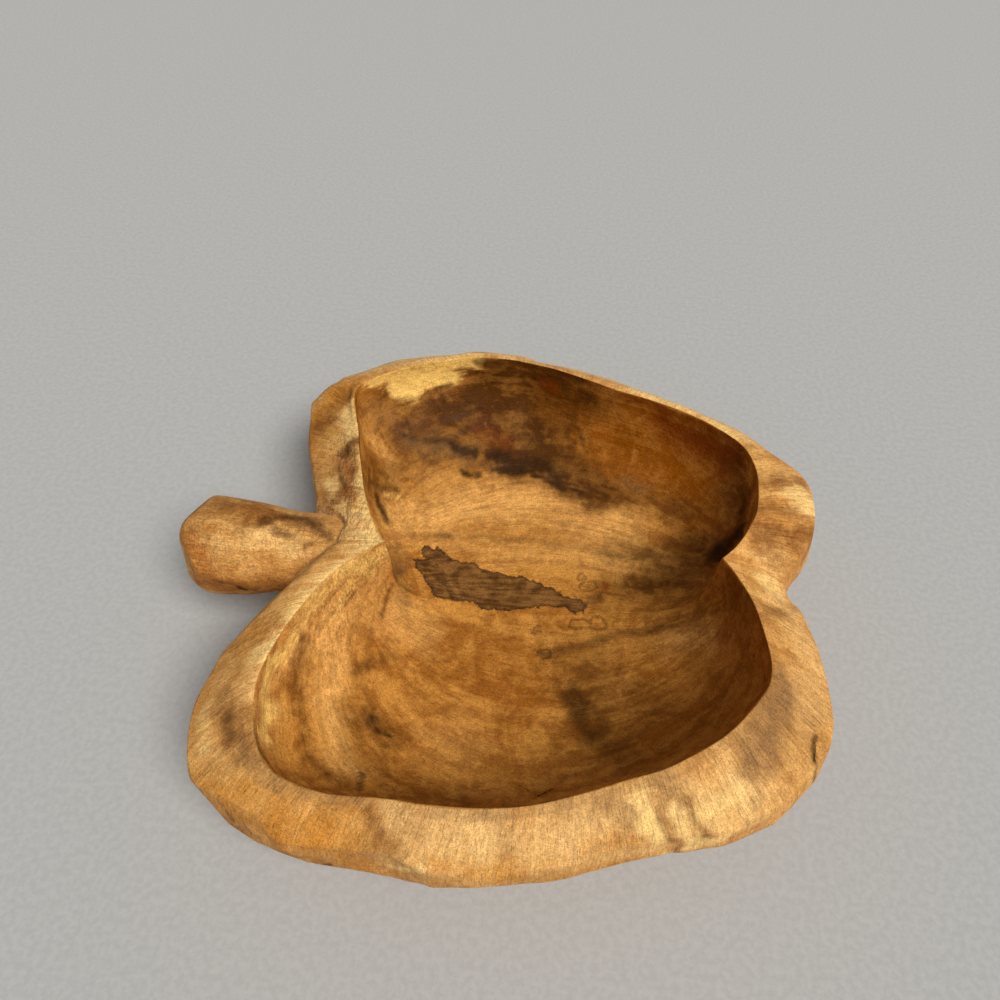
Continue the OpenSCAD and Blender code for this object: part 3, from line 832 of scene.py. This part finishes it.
# builds one material's nodes: a number feeds a socket as it is, an output is linked to it; sockets go by
# number where a node has several of one name
class nodeBench:
    def __init__(self, name):
        self.material = bpy.data.materials.new(name)
        self.material.use_nodes = True
        self.tree = self.material.node_tree
        self.shader = self.tree.nodes["Principled BSDF"]

    def feed(self, socket, value):
        if isinstance(value, bpy.types.NodeSocket):
            self.tree.links.new(value, socket)
        else:
            socket.default_value = value

    def add(self, kind, feeds, out=0, **props):
        node = self.tree.nodes.new(kind)
        for key, value in props.items():
            setattr(node, key, value)
        for key, value in feeds.items():
            self.feed(node.inputs[key], value)
        return node.outputs[out]

    def calc(self, operation, a, b=0.0, c=0.0, clamp=False):
        return self.add("ShaderNodeMath", {0: a, 1: b, 2: c}, operation=operation, use_clamp=clamp)

    def fade(self, value, low, high, start=0.0, end=1.0):
        return self.add("ShaderNodeMapRange", {0: value, 1: low, 2: high, 3: start, 4: end},
                        interpolation_type="SMOOTHSTEP")

    def mix(self, amount, a, b, mode="MIX"):
        return self.add("ShaderNodeMix", {0: amount, 6: a, 7: b}, 2, data_type="RGBA", blend_type=mode)

    def noise(self, vector, size, detail=3.0, rough=0.5, twist=0.0):
        return self.add("ShaderNodeTexNoise", {"Vector": vector, "Scale": 1 / size, "Detail": detail,
                                               "Roughness": rough, "Distortion": twist})

    def value(self, name):
        return self.add("ShaderNodeAttribute", {}, 2, attribute_name=name)

    def place(self):  # object coordinates in mm
        at = self.add("ShaderNodeTexCoord", {}, 3)
        return self.stretch(at, (1 / mm, 1 / mm, 1 / mm))

    def stretch(self, vector, scale):
        return self.add("ShaderNodeVectorMath", {0: vector, 1: scale}, operation="MULTIPLY")

    def bump(self, height, strength, distance):
        return self.add("ShaderNodeBump", {"Height": height, "Strength": strength, "Distance": distance})

    def dress(self, colour, roughness, normal):
        for key, value in (("Base Color", colour), ("Roughness", roughness), ("Normal", normal)):
            self.feed(self.shader.inputs[key], value)


# finish of the carved wood
wood = {
    # display colours, inside and outside, then those that are the same in both places
    "wood": ((206, 142, 62), (238, 180, 104)), "grain": ((162, 100, 34), (202, 138, 66)),
    "light": ((230, 170, 92), (248, 196, 124)), "amber": ((140, 76, 0), (210, 138, 52)),
    "umber": ((86, 48, 4), (140, 84, 32)), "red": ((134, 58, 6), (168, 96, 44)),
    "grey": ((132, 94, 50), (158, 114, 66)), "pale": ((254, 208, 114), (254, 208, 130)),
    "dark": ((46, 24, 0), (84, 48, 14)),
    "spill": (124, 84, 42), "spillEdge": (60, 34, 10), "pore": (84, 48, 14), "crack": (36, 18, 4),
    # noises along the grain and in place: stretch, size in mm, detail, roughness, twist
    "alongGrain": {
        "broad": (1, 30, 2), "band": (1, 8, 3, 0.5, 0.6), "streak": (1, 2.0, 3, 0.55),
        "fibre": (1, 0.8, 3, 0.65), "pore": ((2.2, 1, 1), 0.6, 1),
    },
    "inPlace": {
        "smoke": (1, 22, 4, 0.5, 2.2), "cloud": (1, 6, 4, 0.55, 0.8), "fleck": (1, 2.4, 3, 0.6),
        "speck": (1, 0.9, 2, 0.6), "grit": (1, 0.45, 2, 0.6), "tear": (1, 3.0, 5, 0.68),
        "chatter": ((0.9, 0.4, 0.7), 1.5, 3, 0.6, 0.8),
    },
    # shares of the noises in the tone inside, outside and in the spill, and the range that is drawn out
    "mottled": {"smoke": 0.34, "band": 0.36, "cloud": 0.13, "streak": 0.17},
    "banded": {"broad": 0.20, "band": 0.32, "streak": 0.18, "smoke": 0.20, "cloud": 0.10},
    "wet": {"smoke": 0.5, "streak": 0.5}, "toneRange": (0.40, 0.60),
    # how thick a stain is in the dark and in the light of the tone
    "stains": {
        "light": (0.75, 1.1), "amber": (1.15, 0.8), "umber": (1.15, 0.8), "red": (1.15, 0.8),
        "grey": (1.15, 0.8),
    },
    # sapwood and streaks, and the painted light and painted shade among those marks: cover, and how far the
    # noises tear it
    "ragged": {"pale": (0.95, 1.0), "dark": (0.9, 0.6)}, "tornShare": 0.9,
    "raggedFrom": (0.02, 0.3), "raggedRange": (0.1, 0.9),
    # edges: the distance, the noise that shifts it and how far in mm, where the edge starts and ends
    "edges": {
        "spill": ("spill", "tear", 6.5, 0.5, -0.5), "line": ("spill", "tear", 6.5, -2.2, -0.1),
        "drop": ("ring", "speck", 1.4, 1.0, 0.2), "crack": ("crack", "speck", 0.9, 0.75, 0.15),
    },
    "cover": {"spill": 0.85, "line": 0.7, "drop": 0.45, "crack": 0.85, "strip": 0.22},
    "poreRange": (0.62, 0.74), "poreCover": (0.12, 0.3), "fibreInside": 0.4,
    # tones by a noise: half its range, darkest, lightest
    "fuzz": ("cloud", "fleck", "speck", "grit"),
    "tones": {
        "cloud": (0.2, 0.92, 1.08), "fleck": (0.2, 0.92, 1.07), "speck": (0.2, 0.84, 1.16),
        "grit": (0.2, 0.86, 1.14), "fibre": (0.2, 0.86, 1.12), "streak": (0.15, 0.84, 1.14),
        "chatter": (0.15, 0.72, 1.14),
    },
    "relief": {"fibre": 0.6, "pore": -0.6, "crack": -2.5, "cloud": 0.9, "fleck": 0.9, "chips": 4.0},
    "bump": (0.7, 0.0005), "roughness": (0.52, 0.72), "roughRange": (0.3, 0.7), "sheen": 0.12,
}


def woodFinish(name, look):
    n = nodeBench(name)
    mark, layer = n.value, {}
    outer = mark("outside")
    lines = n.add("ShaderNodeAttribute", {}, 1, attribute_name="lines")
    for base, group in ((lines, "alongGrain"), (n.place(), "inPlace")):
        for key, (stretch, *form) in look[group].items():
            layer[key] = n.noise(base if stretch == 1 else n.stretch(base, stretch), *form)

    def times(a, b, clamp=False):
        return n.calc("MULTIPLY", a, b, clamp=clamp)

    def shifted(amount, key, share):  # an amount moved up and down by a noise
        return n.calc("MULTIPLY_ADD", n.calc("SUBTRACT", layer[key], 0.5), share, amount)

    def weighted(shares):
        total = 0.0
        for key, share in shares.items():
            total = n.calc("MULTIPLY_ADD", layer[key], share, total)
        return total

    def blend(shares):  # weighted noises, drawn out to the full range of tones
        return n.fade(weighted(shares), *look["toneRange"])

    def inOut(inside, outside):
        return n.fade(outer, 0.0, 1.0, inside, outside)

    def both(kind):  # colour of a kind of wood, inside or outside
        return n.mix(outer, tint(*look[kind][0]), tint(*look[kind][1]))

    def edge(key):  # 1 within an edge that a noise shifts
        distance, noise, tear, start, end = look["edges"][key]
        return n.fade(shifted(mark(distance), noise, tear), start, end)

    def covered(colour, amount, key, cover):
        return n.mix(times(amount, look["cover"][key]), colour, cover)

    def toned(colour, key):  # colour made darker and lighter by a noise
        half, low, high = look["tones"][key]
        return n.mix(1.0, colour, n.fade(layer[key], 0.5 - half, 0.5 + half, low, high), "MULTIPLY")

    # inside the wood is mottled with a little grain; outside bands and fibres run over the rim
    tone = n.add("ShaderNodeMix", {0: outer, 2: blend(look["mottled"]), 3: blend(look["banded"])})
    colour = n.mix(tone, both("grain"), both("wood"))
    # stains, thick and thin like smoke, among them some painted light and painted shade in the light and
    # amber marks
    for kind, thickness in look["stains"].items():
        amount = times(mark(kind), n.fade(tone, 0.0, 1.0, *thickness), clamp=True)
        colour = n.mix(amount, colour, both(kind))
    # sapwood and dark streaks, some of them painted light and painted shade, have torn edges, inside like
    # smoke and outside along the grain
    streaky = n.calc("SUBTRACT", layer["streak"], 0.5)
    torn = [shifted(streaky, key, look["tornShare"]) for key in ("smoke", "band")]
    ragged = n.add("ShaderNodeMix", {0: outer, 2: torn[0], 3: torn[1]})
    for kind, (most, tear) in look["ragged"].items():
        here = times(n.fade(mark(kind), *look["raggedFrom"]), most)
        cover = n.fade(n.calc("MULTIPLY_ADD", ragged, tear, mark(kind)), *look["raggedRange"])
        colour = n.mix(times(cover, here), colour, both(kind))
    # spill with a ragged edge and a darker line along it, and rings left by drops
    spilt, deep = edge("spill"), tint(*look["spillEdge"])
    colour = covered(colour, spilt, "spill", n.mix(blend(look["wet"]), deep, tint(*look["spill"])))
    colour = covered(colour, times(spilt, edge("line")), "line", deep)
    colour = covered(colour, edge("drop"), "drop", deep)
    # pores, short and dark along the grain, a fuzz in four sizes, and fibres
    layer["pore"] = n.fade(layer["pore"], *look["poreRange"])
    colour = n.mix(times(layer["pore"], inOut(*look["poreCover"])), colour, tint(*look["pore"]))
    for key in look["fuzz"]:
        colour = toned(colour, key)
    share = n.calc("MAXIMUM", inOut(look["fibreInside"], 1.0), mark("light"))
    colour = n.mix(share, colour, toned(colour, "fibre"))
    # streaks in the light places of the hollow, and chatter of the gouge, in tone here and in relief below
    colour = n.mix(times(mark("light"), inOut(1.0, 0.0)), colour, toned(colour, "streak"))
    colour = n.mix(mark("rough"), colour, toned(colour, "chatter"))
    layer["chips"] = times(layer["chatter"], mark("rough"))
    # cracks and the strip round the rim
    layer["crack"] = edge("crack")
    colour = covered(colour, layer["crack"], "crack", tint(*look["crack"]))
    colour = covered(colour, mark("strip"), "strip", both("grey"))
    roughness = n.fade(layer["streak"], *look["roughRange"], *look["roughness"])
    n.dress(colour, roughness, n.bump(weighted(look["relief"]), *look["bump"]))
    n.feed(n.shader.inputs["Specular IOR Level"], look["sheen"])
    return n.material


# plain finishes: light and deep colour, size of the mottling in mm, roughness
plain = {
    "neckFiller": ((206, 156, 94), (146, 102, 58), 2.4, 0.7),
    "pegWood": ((214, 180, 130), (176, 136, 88), 2.2, 0.6),
    "floorFelt": ((190, 190, 188), (182, 182, 180), 3.0, 0.9),
    "noise": (4, 0.6), "range": (0.35, 0.65), "bump": (0.4, 0.0003),
}


def plainFinish(name):
    light, deep, size, roughness = plain[name]
    n = nodeBench(name)
    grit = n.noise(n.place(), size, *plain["noise"])
    colour = n.mix(n.fade(grit, *plain["range"]), tint(*deep), tint(*light))
    n.dress(colour, roughness, n.bump(grit, *plain["bump"]))
    return n.material


bowlSkin.data.materials.append(woodFinish("bowlWood", wood))
stemSkin.data.materials.append(woodFinish("stemWood", wood))
fillerRing.data.materials.append(plainFinish("neckFiller"))
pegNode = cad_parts["stem_peg"]
pegNode.data.materials.clear()
pegNode.data.materials.append(plainFinish("pegWood"))
print("finishes applied")

for piece, node, slot in ((bowlSkin, "bowl", "bowl_wood"), (stemSkin, "stem", "stem_wood"),
                          (fillerRing, "neck_filler", "filler")):
    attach(piece, "root")
    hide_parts(node)

# pale floor and soft studio light: sizes in metres, the key's strength in watts per square metre
studio = {
    "floorHalf": 3.0, "world": (1.0, 0.99, 0.97), "worldLevel": 0.22,
    "keyFrom": (0.56, -0.46, 0.98), "keyStrength": 2.7, "keySpread": 30.0, "keyColour": (1.0, 0.98, 0.95),
}


def lightStudio():
    half = studio["floorHalf"]
    mesh = bpy.data.meshes.new("floor")
    corners = [(-half, -half, 0), (half, -half, 0), (half, half, 0), (-half, half, 0)]
    mesh.from_pydata(corners, [], [(0, 1, 2, 3)])
    floor = addObject("floor", mesh)
    mesh.materials.append(plainFinish("floorFelt"))
    data = bpy.data.lights.new("key", "SUN")
    data.energy, data.color = studio["keyStrength"], studio["keyColour"]
    data.angle = math.radians(studio["keySpread"])
    key = addObject("key", data)
    key.location = studio["keyFrom"]
    back = unit(studio["keyFrom"])
    key.rotation_euler = (math.acos(back[2]), 0, math.atan2(back[0], -back[1]))
    world = bpy.data.worlds.new("studio")
    world.use_nodes = True
    sky = world.node_tree.nodes["Background"]
    sky.inputs["Color"].default_value = (*studio["world"], 1)
    sky.inputs["Strength"].default_value = studio["worldLevel"]
    bpy.context.scene.world = world
    bpy.context.scene.view_settings.view_transform = "Standard"


lightStudio()
print("studio lit")
